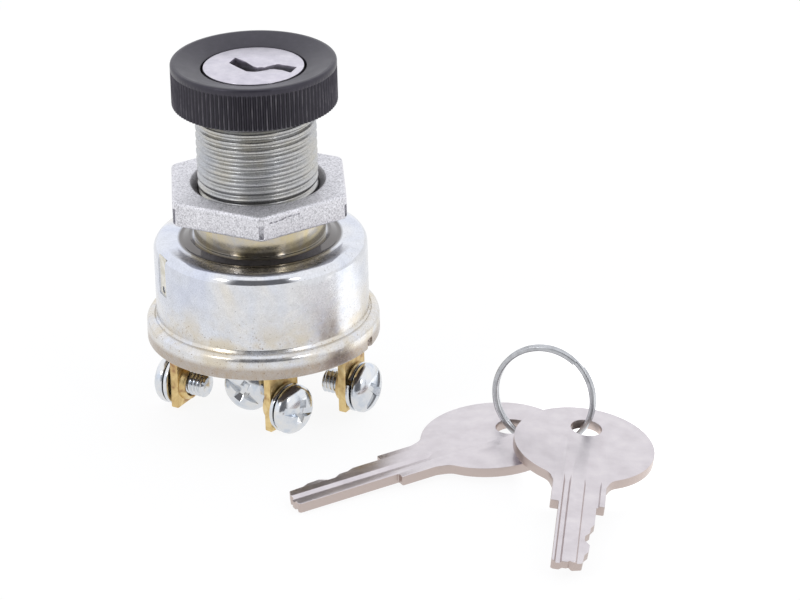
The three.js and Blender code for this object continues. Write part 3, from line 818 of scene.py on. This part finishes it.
def make_stem():
    """The stem with its helical thread, and the plain collar at its foot."""
    low, high = limits("lock_housing")
    stem_r, thread_depth, bore = 11.11, 0.62, 7.3
    neck_z = limits("hex_nut")[0].z - 0.1
    stem = thread(stem_r, thread_depth, STEM_PITCH, neck_z, high.z, bore, 160, 14, crest=0.2)
    add_piece("threaded_stem", stem, "thread", "switch_case", ["lock_housing"], 60)
    collar_r, collar_z = high.x, -32.72
    inner_rim_r, through_r = 11.5, 10.2
    collar_top = neck_z - 0.02
    outline = rounded([
        (bore, low.z, 0), (inner_rim_r, low.z, 0.2), (inner_rim_r, low.z + 1, 0.2),
        (through_r, low.z + 1, 0), (through_r, collar_z, 0), (collar_r, collar_z, 0.12),
        (collar_r, neck_z - 0.3, 0.5), (collar_r - 1.2, collar_top, 0.2), (bore, collar_top, 0),
    ])
    add_piece("stem_collar", lathe(outline, 128), "collar", "switch_case")


# ---- hex nut
def nut_chamfers(low_z, high_z, bore):
    """Cones that break the edges of the nut's hole."""
    chamfer = 1.15
    mouth_r, inner_r = bore + chamfer + 1, bore - 0.5
    low_inner, high_inner = low_z + chamfer + 0.5, high_z - chamfer - 0.5

    def cone(*corners):
        return lathe(disc_outline([(r, z, 0) for r, z in corners]), 96)

    return [
        cone((0, low_z - 1), (mouth_r, low_z - 1), (inner_r, low_inner), (0, low_inner)),
        cone((0, high_inner), (inner_r, high_inner), (mouth_r, high_z + 1), (0, high_z + 1)),
    ]


def nut_marks(low_z, high_z, corner, angles):
    """A sunk parting line down each corner, of three lengths."""
    sunk, half_width = 1.3, 0.42
    marks = []
    for k, angle in enumerate(angles):
        end = high_z - 1.3 - 0.3 * (k % 3)
        mark = box(corner - sunk, corner - sunk + 3, -half_width, half_width, low_z + 0.5, end, 0.15)
        marks.append(moved(mark, Matrix.Rotation(angle, 4, "Z")))
    return marks


def nut_scuff(high_z, face_x):
    """A row of gouges under the upper edge of the face at the front right."""
    facing = Matrix.Rotation(NUT_TURN - math.pi / 3, 4, "Z")
    half_height = 0.16
    gouges = []
    for k in range(7):
        y = -7.4 + 0.98 * k
        z = high_z - 1.35 + 0.06 * k + 0.1 * math.sin(5 * k)
        end = y + 0.6 + 0.2 * (k % 3)
        gouge = box(face_x - 0.3, face_x + 1, y, end, z - half_height, z + half_height, 0.07)
        gouges.append(moved(gouge, facing))
    return gouges


def make_hex_nut():
    """The die-cast panel nut."""
    low, high = limits("hex_nut")
    across, bore = 31.75, 11.35
    corner = across / math.sqrt(3)
    angles = [NUT_TURN + math.pi / 6 + k * math.pi / 3 for k in range(6)]
    hexagon = rounded([(*polar(corner, a), 1.6) for a in angles], 6)
    nut = slab([hexagon, circle(bore, 96)], low.z, high.z, 0.6)
    cutters = nut_chamfers(low.z, high.z, bore)
    cutters += nut_marks(low.z, high.z, corner, angles)
    cutters += nut_scuff(high.z, across / 2)
    nut = boolean(nut, cutters)
    add_piece("cast_hex_nut", nut, "cast_zinc", "panel_nut", ["hex_nut"], 40, True)


# ---- steel cup
CUP_WALL_R = 19.83


def cup_outline(flange_r, bottom, top):
    """Half of the cup's section: pressed groove and ridge, wall, rolled flange and hollow."""
    wall_r, hole_r, crimp_r, pocket_r = CUP_WALL_R, 10.5, 19.9, 20.6
    shelf, inner_bottom = -48.75, -52.7
    return rounded([
        (hole_r, top - 1.0, 0), (hole_r, top, 0), (13.15, top, 0.4), (14.45, top - 0.78, 1.0),
        (16.0, top - 0.50, 0.35), (wall_r, top - 0.66, 1.95), (wall_r, -47.9, 0.5),
        (wall_r + 0.37, -48.42, 0), (wall_r + 0.47, -48.3, 0), (flange_r, -48.3, 1.45),
        (flange_r, bottom + 0.35, 0.4), (flange_r - 0.5, bottom, 0.3), (crimp_r, bottom, 0),
        (crimp_r, inner_bottom, 0), (pocket_r, inner_bottom, 0), (pocket_r, shelf, 0),
        (wall_r - 1, shelf, 0), (wall_r - 1, top - 2.5, 0.5), (14.4, top - 1.8, 0.5), (12.9, top - 1.0, 0),
    ], 7)


def cup_shell(flange_r, bottom, top):
    """The cup as drawn, with a wall that is a little uneven."""
    wall_r, unevenness = CUP_WALL_R, 0.035

    def pressed(r, z, angle):
        if r < wall_r - 0.5:
            return r
        spot = Vector((math.cos(angle), math.sin(angle), z / 22)) * 2.2
        return r - 0.03 + unevenness * noise.noise(spot)

    outline = cup_outline(flange_r, bottom, top)
    dense = []
    for (r0, z0), (r1, z1) in zip(outline, outline[1:] + outline[:1]):
        dense.append((r0, z0))
        if abs(r0 - wall_r) < 0.05 and abs(r1 - wall_r) < 0.05 and z0 - z1 > 4:
            dense += [(wall_r, z0 + (z1 - z0) * k / 10) for k in range(1, 10)]
    return lathe(dense, 256, pressed)


def make_cup():
    """The cup with a crimp in its flange, and a narrow strip with a pin hole on the left."""
    low, high = limits("steel_cup")
    wall_r, flange_r, bottom = CUP_WALL_R, high.x, low.z
    left = Matrix.Rotation(math.radians(204.5), 4, "Z")
    front_right = Matrix.Rotation(math.radians(-24), 4, "Z")
    strip_low, strip_high, strip_half = -41.6, -33.9, 1.62
    gap = 0.02
    recess = box(wall_r - 0.40, wall_r + 1, -strip_half, strip_half, strip_low, strip_high, 0.2)
    pin_hole = box(wall_r - 0.8, wall_r + 1, -0.6, 0.6, strip_low + 0.5, strip_low + 1.7, 0.25)
    moved(pin_hole, left)
    crimp = box(flange_r - 0.8, flange_r + 1, -1.0, 1.0, bottom - 1, bottom + 2.2, 0.3)
    cutters = [moved(recess, left), pin_hole.copy(), moved(crimp, front_right)]
    cup = boolean(cup_shell(flange_r, bottom, high.z), cutters)
    add_piece("pressed_cup", cup, "cup", "switch_case", ["steel_cup"], 40)
    strip = box(wall_r - 0.52, wall_r - 0.30, -strip_half + gap, strip_half - gap, strip_low + gap,
                strip_high - gap, 0.05)
    strip = boolean(moved(strip, left), [pin_hole])
    add_piece("cup_strip", strip, "stained", "switch_case")


# ---- terminals
# places along a terminal's own axis, outwards from the underside of the screw's head
WASHER_OUT, WASHER_IN = -0.3, -1.2
BLADE_OUT, BLADE_IN = -1.5, -3.1
HEAD_R, HEAD_H, SHANK_R = 4.75, 3.0, 2.35
FOOT_T, PLATE_GAP = 1.4, 0.3
# one for each terminal: the shank beyond the blade, and the turn of the screw and the washer
SHANK_LENGTHS = (4.4, 4.7, 2.2, 3.4)
SCREW_ROLLS = (0.4, 0.9, -0.30, -0.54)
WASHER_ROLLS = (2.0, 2.6, 1.2, 4.0)


def terminal_place(index):
    """Matrix from a terminal's own frame: X across the blade, Y up, Z out of the screw's head."""
    joint = JOINTS[f"screw_{index}_turn"]
    outward = Vector(joint["axis"])
    place = Vector(joint["pos_m"]) / MM
    side = Vector((0, 0, 1)).cross(outward)
    matrix = Matrix((side, Vector((0, 0, 1)), outward)).transposed().to_4x4()
    matrix.translation = place
    return matrix


def screw_head():
    """A pan head with a combined cross recess and slot."""
    rim = 0.55
    outline = [(0, 0, 0), (HEAD_R - 0.1, 0, 0.15), (HEAD_R, rim, 0.3)]
    for k in range(1, 9):
        angle = k / 8 * math.pi / 2
        outline.append((HEAD_R * math.cos(angle), rim + (HEAD_H - rim) * math.sin(angle) ** 0.9, 0))
    wing = wedge((2.4, 0.8), (6.4, 2.1), HEAD_H - 1.1, HEAD_H + 0.3)
    crossing = moved(wing.copy(), Matrix.Rotation(math.pi / 2, 4, "Z"))
    slot = wedge((12, 1.1), (12, 2.3), HEAD_H - 1.0, HEAD_H + 0.6)
    return boolean(lathe(disc_outline(outline), 64), [wing, crossing, slot])


def make_screw(index):
    """A pan-head screw with its threaded shank."""
    shank_end = BLADE_IN - SHANK_LENGTHS[index - 1]
    chamfer = 0.35
    rod = thread(SHANK_R, 0.38, SCREW_PITCH, shank_end + chamfer, -0.02, 0.0, 40, 8, chamfer)
    turn = Matrix.Rotation(SCREW_ROLLS[index - 1], 4, "Z")
    screw = moved(merged(screw_head(), rod), terminal_place(index) @ turn)
    add_piece(f"pan_screw_{index}", screw, "screw_steel", f"screw_body_{index}",
              [f"terminal_screw_{index}"], 32)


def make_washer(index):
    """A split spring washer: one turn of square wire whose ends stand apart."""
    bm = bmesh.new()
    inner, outer = 2.7, HEAD_R - 0.05
    steps, gap, rise = 56, 0.22, 0.10
    rings = []
    for k in range(steps + 1):
        angle = gap / 2 + (TAU - gap) * k / steps
        lift = rise * (k / steps - 0.5)
        z0, z1 = WASHER_IN + 0.07 + lift, WASHER_OUT - 0.02 + lift
        corners = rounded([(inner, z0, 0.12), (outer, z0, 0.18), (outer, z1, 0.18), (inner, z1, 0.12)], 2)
        rings.append([bm.verts.new((*polar(r, angle), z)) for r, z in corners])
    skin(bm, rings)
    moved(bm, terminal_place(index) @ Matrix.Rotation(WASHER_ROLLS[index - 1], 4, "Z"))
    add_piece(f"spring_washer_{index}", bm, "screw_steel", f"washer_body_{index}",
              [f"lock_washer_{index}"], 40)


def make_blade(index):
    """A brass strip bent under the base plate, with the collar that the screw goes through."""
    place = terminal_place(index)
    top = limits("base_plate")[0].z - PLATE_GAP - place.translation.z
    low, half, foot_end = -4.1, 3.8, -7.7
    # the strip is drawn from the side as (depth, height) and given its width
    side = rounded([
        (BLADE_OUT, low, 0.25), (BLADE_OUT, top, 1.6), (foot_end, top, 0.15), (foot_end, top - FOOT_T, 0.15),
        (BLADE_IN, top - FOOT_T, 0.5), (BLADE_IN, low, 0.25),
    ], 5)
    strip = slab([side], -half, half, 0.16)
    # the slab's X, Y and Z become outwards, up and across
    turn = Matrix(((0, 0, 1, 0), (0, 1, 0, 0), (1, 0, 0, 0), (0, 0, 0, 1)))
    moved(strip, turn)
    bmesh.ops.reverse_faces(strip, faces=strip.faces)
    collar = lathe(rounded([(2.65, BLADE_IN - 1.1, 0.1), (3.2, BLADE_IN - 1.1, 0.3),
                            (3.5, BLADE_IN + 0.05, 0), (2.65, BLADE_IN + 0.05, 0)]), 48)
    blade = moved(merged(strip, collar), place)
    add_piece(f"brass_blade_{index}", blade, "brass", "switch_case",
              [f"terminal_blade_{index}"], 40, True)


def make_rivet(index):
    """The rivet that holds a blade's foot against the base plate."""
    low, high = limits(f"terminal_rivet_{index}")
    plate_low, plate_high = limits("base_plate")
    tail_top = plate_low.z - PLATE_GAP - FOOT_T - 0.3
    head_bottom = plate_high.z + 0.3
    outline = disc_outline([
        (0, low.z + 0.35, 0), (0.7, low.z + 0.3, 0.2), (1.2, low.z, 0.3), (1.9, low.z, 0.4),
        (2.3, tail_top, 0.1), (1.5, tail_top, 0), (1.5, head_bottom, 0), (2.3, head_bottom, 0.1),
        (1.8, high.z, 0.3), (0, high.z, 0),
    ])
    centre = (low + high) / 2
    rivet = moved(lathe(outline, 40), Matrix.Translation((centre.x, centre.y, 0)))
    add_piece(f"brass_rivet_{index}", rivet, "brass", "switch_case",
              [f"terminal_rivet_{index}"])


# ---- keys and ring
KEY_T = 1.88
KEY_TIP = 46.3
# the way the blade points, its pitch and roll, all in degrees
KEY_HEADINGS = {1: 208.3, 2: -96.2}
KEY_TILTS = {1: (2.04, 0.0), 2: (2.5, -8.44)}
# which edge has the cuts, and how the blank lies about its hole
KEY_CUT_SIDES = {1: -1, 2: 1}
KEY_SHIFTS = {1: (0.12, 0.89), 2: (1.5, 0.0)}


def key_outline(cut_side):
    """A blank seen from above: an oval bow, a neck, and a blade along X with its cuts."""
    tip, shoulder, neck, neck_half, blade_half = KEY_TIP, 26.0, 18.6, 4.85, 3.4
    bow_x, bow_a, bow_b = 4.46, 13.3, 12.9
    opening = 0.46
    corners = []
    steps = 56
    for k in range(steps + 1):
        angle = opening + (TAU - 2 * opening) * k / steps
        fillet = 3.0 if k in (0, steps) else 0
        corners.append((bow_x + bow_a * math.cos(angle), bow_b * math.sin(angle), fillet))
    neck_end = neck + 0.4
    corners += [
        (neck_end, -neck_half, 2.5), (shoulder, -neck_half, 0.25), (shoulder, -blade_half, 0.2),
        (tip - 0.3, -blade_half, 0.2), (tip, -blade_half + 0.4, 0.2), (tip, -0.7, 0.15),
        (tip - 0.5, -0.2, 0.15), (tip - 0.2, 0.4, 0.15), (tip - 0.8, 2.0, 0.4),
    ]
    # the cuts, from the tip towards the bow
    corners += [
        (42.6, 2.2, 0.4), (41.4, 2.8, 0.4), (39.0, 2.95, 0.5), (37.6, 1.95, 0.4), (36.2, 1.95, 0.4),
        (34.9, 2.75, 0.4), (33.2, 2.8, 0.4), (31.8, 3.4, 0.4),
    ]
    corners += [(shoulder, blade_half, 0.2), (shoulder, neck_half, 0.25), (neck_end, neck_half, 2.5)]
    outline = rounded(corners, 4)
    return [(x, y * cut_side) for x, y in outline]


def key_place(index):
    """Matrix from a key's own frame: X along the blade, Z up, the ring's hole at the middle."""
    joint = JOINTS[f"key_{index}_swing"]
    pitch, roll = KEY_TILTS[index]
    turn = (Matrix.Rotation(math.radians(KEY_HEADINGS[index]), 4, "Z")
            @ Matrix.Rotation(math.radians(pitch), 4, "Y") @ Matrix.Rotation(math.radians(roll), 4, "X"))
    return Matrix.Translation(Vector(joint["pos_m"]) / MM) @ turn


def key_groove(start, centre, floor, slope, depth, upper):
    """A trough along the blade, with sloping sides and a slanted run-out towards the bow.

    Floor is the width of its bottom, slope the width of each side, and upper the face it's cut in.
    """
    bm = bmesh.new()
    sign = 1 if upper else -1
    face = 0.0 if upper else -KEY_T
    above, run_out = 0.3, 1.6
    rings = []
    for x, sink in ((start, -0.05), (start + run_out, depth), (KEY_TIP + 2, depth)):
        wide = floor / 2 + slope * (1 + above / depth)
        narrow = floor / 2 + slope * (1 - max(sink, 0.0) / depth)
        profile = ((wide, above), (-wide, above), (-narrow, -sink), (narrow, -sink))
        rings.append([bm.verts.new((x, centre + y, face + sign * z)) for y, z in profile])
    skin(bm, rings)
    return bm


def make_key(index):
    """A key: one face has a narrow groove and a wide step, and the other a broad groove."""
    cut_side = KEY_CUT_SIDES[index]
    along, across = KEY_SHIFTS[index]
    hole_r = 2.85
    hole = circle(hole_r, 48, -along, -across)
    blank = slab([key_outline(cut_side), hole], -KEY_T, 0, 0.14)
    first = cut_side > 0
    grooves = [
        key_groove(16.2, -2.3 * cut_side, 0.75, 0.28, 0.5, first),
        key_groove(17.0, 2.35 * cut_side, 2.6, 0.25, 0.4, first),
        key_groove(16.5, -0.92 * cut_side, 1.0, 0.65, 0.5, not first),
    ]
    key = boolean(blank, grooves)
    moved(key, key_place(index) @ Matrix.Translation((along, across, 0)))
    add_piece(f"flat_key_{index}", key, "nickel", f"key_body_{index}", [f"key_{index}"],
              28, True)


def make_ring():
    """Two turns of flat wire, side by side, whose ends overlap at the upper right."""
    low, high = limits("key_ring")
    bearing, lean = math.radians(-19.96), math.radians(6.15)
    radius, thick, wide, fillet = 9.35, 1.0, 0.78, 0.28
    start, turns, steps = math.radians(52), 1.97, 220
    # the wire crosses from the first turn to the second over this stretch of its length
    cross_from, cross_length = 0.44, 0.12
    bm = bmesh.new()
    sides = ((-1, -1), (1, -1), (1, 1), (-1, 1))
    section = rounded([(u * thick / 2, v * wide / 2, fillet) for u, v in sides], 4)
    rings = []
    for k in range(steps + 1):
        t = k / steps
        angle = start + TAU * turns * t
        crossed = eased(clamped((t - cross_from) / cross_length))
        offset = (crossed - 0.5) * (wide + 0.02)
        ring = []
        for u, v in section:
            x, z = polar(radius + u, angle)
            ring.append(bm.verts.new((x, v + offset, z)))
        rings.append(ring)
    skin(bm, rings)
    centre = (low + high) / 2
    turn = Matrix.Rotation(bearing, 4, "Z") @ Matrix.Rotation(-lean, 4, "X")
    moved(bm, Matrix.Translation(centre) @ turn)
    add_piece("split_ring", bm, "ring_steel", "ring_body", ["key_ring"], 40)


# ---- inner CAD nodes
def dress_inner_nodes():
    """The pieces that stay as the frame has them get their own materials."""
    slots = {row["node"]: row["material_slot"] for row in frame["record"]["subparts"]}
    for name, node in frame["nodes"].items():
        node.data.materials.clear()
        node.data.materials.append(LOOKS[slots[name]])


# ---- camera, floor and light
def make_camera():
    """The picture's own viewpoint: a long lens, 25 degrees above the floor."""
    down, roll = math.radians(24.72), math.radians(-1.41)
    distance = 745.05 * MM
    target = Vector((25.52, 0, -47.49)) * MM
    forward = Vector((0, math.cos(down), -math.sin(down)))
    right = Vector((1, 0, 0))
    up = right.cross(forward)
    right, up = right * math.cos(roll) + up * math.sin(roll), up * math.cos(roll) - right * math.sin(roll)
    data = bpy.data.cameras.new("camera")
    data.sensor_width = 36
    data.lens = 180
    data.clip_end = 100
    camera = added("camera", data)
    matrix = Matrix((right, up, -forward)).transposed().to_4x4()
    matrix.translation = target - forward * distance
    camera.matrix_world = matrix
    bpy.context.scene.camera = camera


def make_floor():
    """A pale floor, a little brighter to the right of the switch."""
    bm = bmesh.new()
    bmesh.ops.create_circle(bm, cap_ends=True, radius=8, segments=64)
    mesh = as_mesh("floor", bm)
    look = Look("floor", (0.10, 0.10, 0.102), 0.0, 0.7, Specular_IOR_Level=0.0,
                Emission_Color=(1, 1, 1, 1))
    x, y = look.axis("X"), look.axis("Y")
    across = look.product(look.between(x, 0.045, 0.060), look.between(x, 0.125, 0.095))
    along = look.product(look.between(y, -0.045, -0.020), look.between(y, 0.045, 0.015))
    glow = look.math("ADD", look.product(across, along, 0.60), 0.90)
    look.link(glow, look.shader.inputs["Emission Strength"])
    mesh.materials.append(look.material)
    floor = added("floor", mesh)
    floor.location = (0, 0, CAD_BOX[0][2] - 0.00002)


def area_light(name, place, aim, size, power):
    """A rectangular lamp of that many watts."""
    data = bpy.data.lights.new(name, "AREA")
    data.shape = "RECTANGLE"
    data.size, data.size_y = size
    data.energy = power
    light = added(name, data)
    light.location = place
    light.rotation_euler = (Vector(aim) - Vector(place)).to_track_quat("-Z", "Y").to_euler()


def make_light():
    """A white tent with a dim opening in front, and small lamps for the highlights."""
    world = bpy.data.worlds.new("studio")
    bpy.context.scene.world = world
    world.use_nodes = True
    sky = Nodes(world.node_tree)
    place = sky.new("TexCoord")
    split = sky.new("SeparateXYZ")
    sky.link(place.outputs["Generated"], split.inputs[0])
    x, y, z = split.outputs
    frontness = sky.math("DIVIDE", sky.product(y, -1.0), sky.length(x, y))
    ahead = sky.between(frontness, 0.74, 0.90, "SMOOTHSTEP")
    high_up = sky.between(z, 0.70, 0.87, "SMOOTHSTEP")
    opening = sky.product(ahead, sky.math("SUBTRACT", 1.0, high_up))
    tone = sky.mix(opening, (1.13, 1.14, 1.17), (0.17, 0.17, 0.18))
    sky.link(tone, sky.tree.nodes["Background"].inputs["Color"])
    area_light("left_softbox", (-0.45, -0.45, 0.40), (0, 0, -0.05), (0.10, 0.14), 0.5)
    area_light("right_softbox", (0.40, -0.50, 0.35), (0, 0, -0.05), (0.08, 0.12), 0.4)


make_camera()
make_floor()
make_light()
dress_inner_nodes()
make_bezel()
make_lock()
make_stem()
make_hex_nut()
make_cup()
for number in range(1, len(SHANK_LENGTHS) + 1):
    make_blade(number)
    make_rivet(number)
    make_washer(number)
    make_screw(number)
for number in (1, 2):
    make_key(number)
make_ring()

bpy.context.scene.view_settings.view_transform = "Standard"
